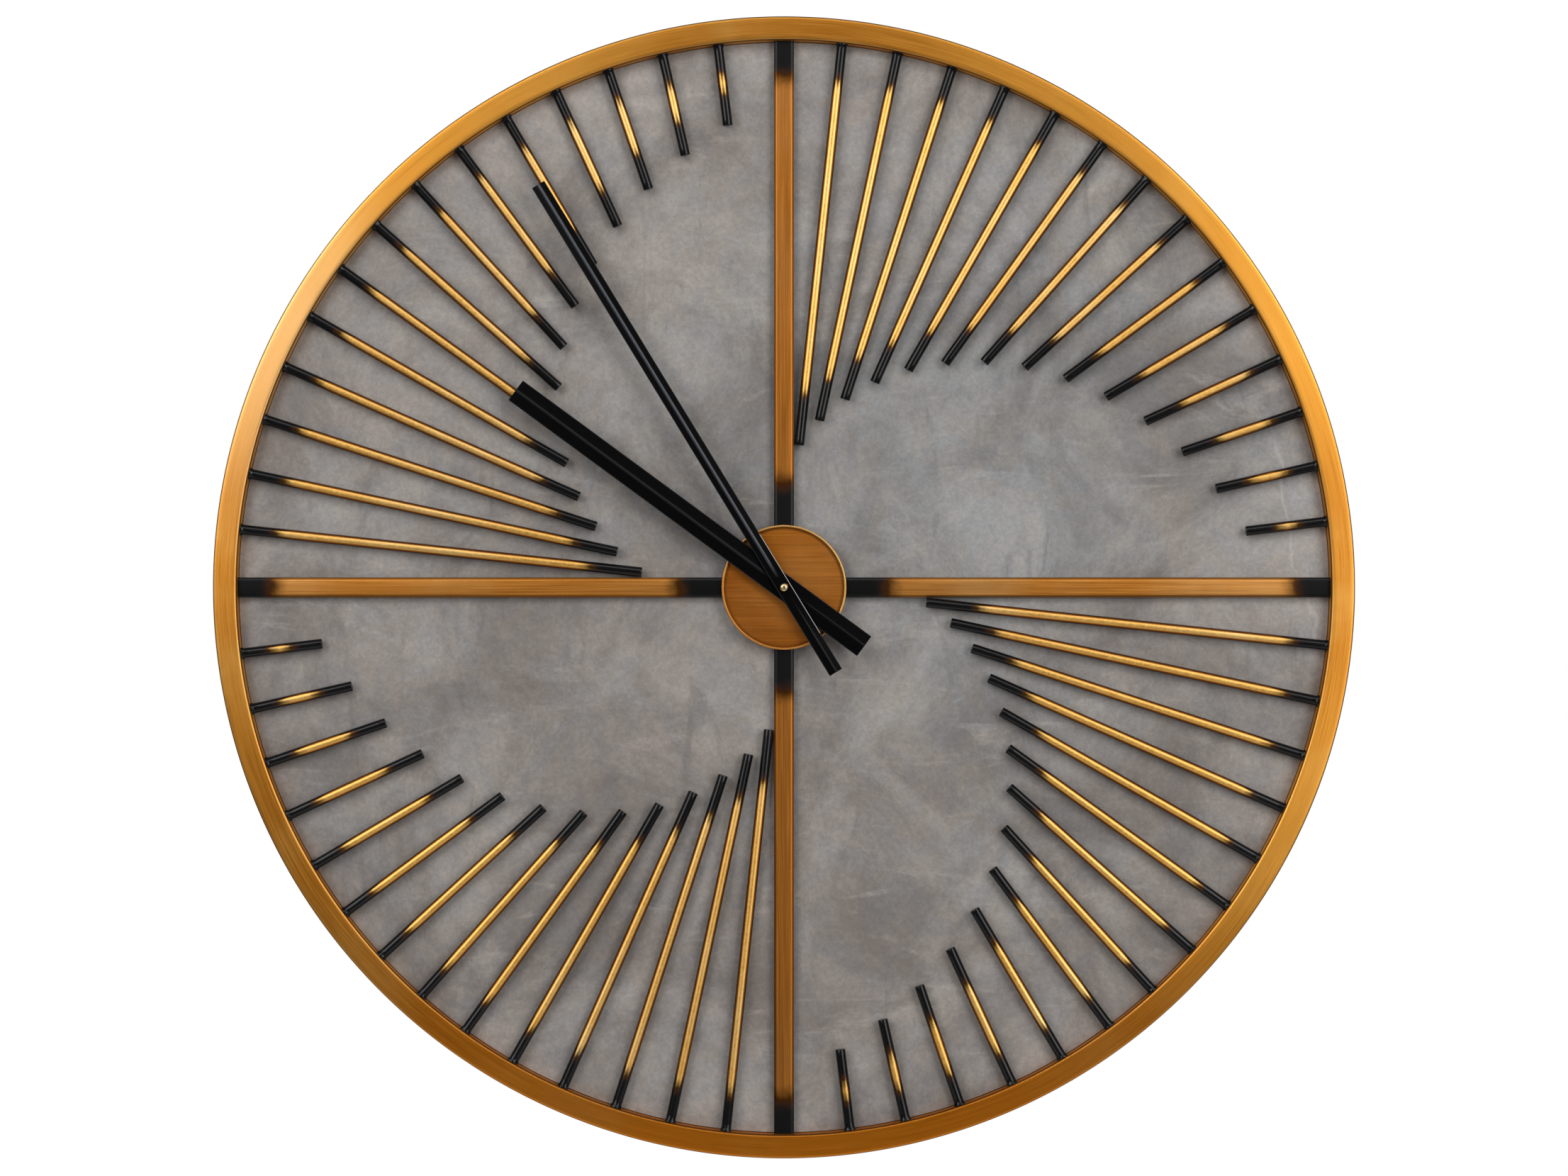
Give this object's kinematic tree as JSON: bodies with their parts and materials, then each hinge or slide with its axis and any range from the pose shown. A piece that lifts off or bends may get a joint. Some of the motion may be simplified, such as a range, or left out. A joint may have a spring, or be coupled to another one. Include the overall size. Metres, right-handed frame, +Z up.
{
  "type": "sunburst wall clock",
  "caption": "Round wall clock: a steel ring frame and grey dial with radial rods and cross bars as hour and minute marks, two black hands and a quartz movement behind the dial.",
  "frame": {"origin": "on the wall plane, on the axis of the hands' arbor, at the centre of the ring's flat back", "axes": "+Y into the wall, square to the dial, so the clock faces -Y; +Z up to the 12 o'clock bar; +X right as seen from the front"},
  "size_m": [0.9144, 0.0496, 0.9144],
  "materials": {
    "bronzed_steel": "satin",
    "dial_grey": "matte",
    "board": "matte",
    "bare_steel": "satin",
    "zinc_steel": "satin",
    "brass": "gloss",
    "black_lacquer": "satin",
    "case_plastic": "matte",
    "train_plastic": "matte",
    "wheel_plastic": "satin",
    "magnet": "satin",
    "copper": "gloss",
    "rubber": "matte",
    "circuit_board": "gloss",
    "chip": "gloss",
    "crystal_can": "gloss",
    "contact_steel": "satin",
    "battery": "gloss"
  },
  "bodies": {
    "root": {"ring_frame": "bronzed_steel", "dial_sheet": "dial_grey", "backing_board": "board", "board_tabs": "bare_steel", "board_screws": "zinc_steel", "hanger_tabs": "bare_steel", "ray_rods_01": "bronzed_steel", "ray_rods_02": "bronzed_steel", "ray_rods_03": "bronzed_steel", "ray_rods_04": "bronzed_steel", "ray_rods_05": "bronzed_steel", "ray_rods_06": "bronzed_steel", "ray_rods_07": "bronzed_steel", "ray_rods_08": "bronzed_steel", "ray_rods_09": "bronzed_steel", "ray_rods_10": "bronzed_steel", "ray_rods_11": "bronzed_steel", "ray_rods_12": "bronzed_steel", "ray_rods_13": "bronzed_steel", "ray_rods_14": "bronzed_steel", "cross_bar_12": "bronzed_steel", "cross_bar_3": "bronzed_steel", "cross_bar_6": "bronzed_steel", "cross_bar_9": "bronzed_steel", "hub_plate": "bronzed_steel", "case_gasket": "rubber", "threaded_bushing": "brass", "bushing_washer": "brass", "bushing_nut": "brass", "front_case": "case_plastic", "back_cover": "case_plastic", "train_bridge": "train_plastic", "stator": "zinc_steel", "coil_core": "zinc_steel", "coil_bobbin": "train_plastic", "coil_winding": "copper", "circuit_board": "circuit_board", "quartz_crystal": "crystal_can", "driver_chip": "chip", "negative_contact": "contact_steel", "positive_contact": "contact_steel"},
    "minute_train": {"minute_arbor": "brass", "centre_wheel": "wheel_plastic", "minute_hand": "black_lacquer", "minute_boss": "brass", "cap_nut": "brass"},
    "hour_train": {"hour_wheel": "wheel_plastic", "hour_hand": "black_lacquer", "hour_collet": "brass"},
    "motion_work": {"motion_wheel": "wheel_plastic"},
    "third_arbor": {"third_wheel": "wheel_plastic"},
    "second_arbor": {"second_wheel": "wheel_plastic"},
    "intermediate_arbor": {"intermediate_wheel": "wheel_plastic"},
    "rotor": {"rotor_pinion": "wheel_plastic", "rotor_magnet": "magnet"},
    "setting": {"setting_shaft": "case_plastic", "setting_knob": "case_plastic"},
    "battery": {"aa_battery": "battery"}
  },
  "joints": [
    {"name": "minute_spin", "type": "hinge", "parent": "root", "child": "minute_train", "pos_m": [0, 0, 0], "axis": [0, 1, 0], "continuous": true},
    {"name": "hour_spin", "type": "hinge", "parent": "root", "child": "hour_train", "pos_m": [0, 0, 0], "axis": [0, 1, 0], "continuous": true},
    {"name": "motion_spin", "type": "hinge", "parent": "root", "child": "motion_work", "pos_m": [0.0072, 0, 0], "axis": [0, 1, 0], "continuous": true},
    {"name": "third_spin", "type": "hinge", "parent": "root", "child": "third_arbor", "pos_m": [-0.00748, 0, 0.00432], "axis": [0, 1, 0], "continuous": true},
    {"name": "second_spin", "type": "hinge", "parent": "root", "child": "second_arbor", "pos_m": [0, 0, 0], "axis": [0, 1, 0], "continuous": true},
    {"name": "intermediate_spin", "type": "hinge", "parent": "root", "child": "intermediate_arbor", "pos_m": [0.00152, 0, 0.00862], "axis": [0, 1, 0], "continuous": true},
    {"name": "rotor_spin", "type": "hinge", "parent": "root", "child": "rotor", "pos_m": [0.00512, 0, 0.01485], "axis": [0, 1, 0], "continuous": true},
    {"name": "setting_spin", "type": "hinge", "parent": "root", "child": "setting", "pos_m": [0.0131, 0, 0.00413], "axis": [0, 1, 0], "continuous": true},
    {"name": "battery_slide", "type": "slide", "parent": "root", "child": "battery", "axis": [0, 1, 0], "range_m": [0, 0.02]}
  ],
  "couplings": [
    {"joint": "hour_spin", "follows": "minute_spin", "ratio": 0.083333},
    {"joint": "motion_spin", "follows": "minute_spin", "ratio": -0.33333},
    {"joint": "third_spin", "follows": "minute_spin", "ratio": -8},
    {"joint": "second_spin", "follows": "minute_spin", "ratio": 60},
    {"joint": "intermediate_spin", "follows": "minute_spin", "ratio": -360},
    {"joint": "rotor_spin", "follows": "minute_spin", "ratio": 1800},
    {"joint": "setting_spin", "follows": "minute_spin", "ratio": 1}
  ]
}
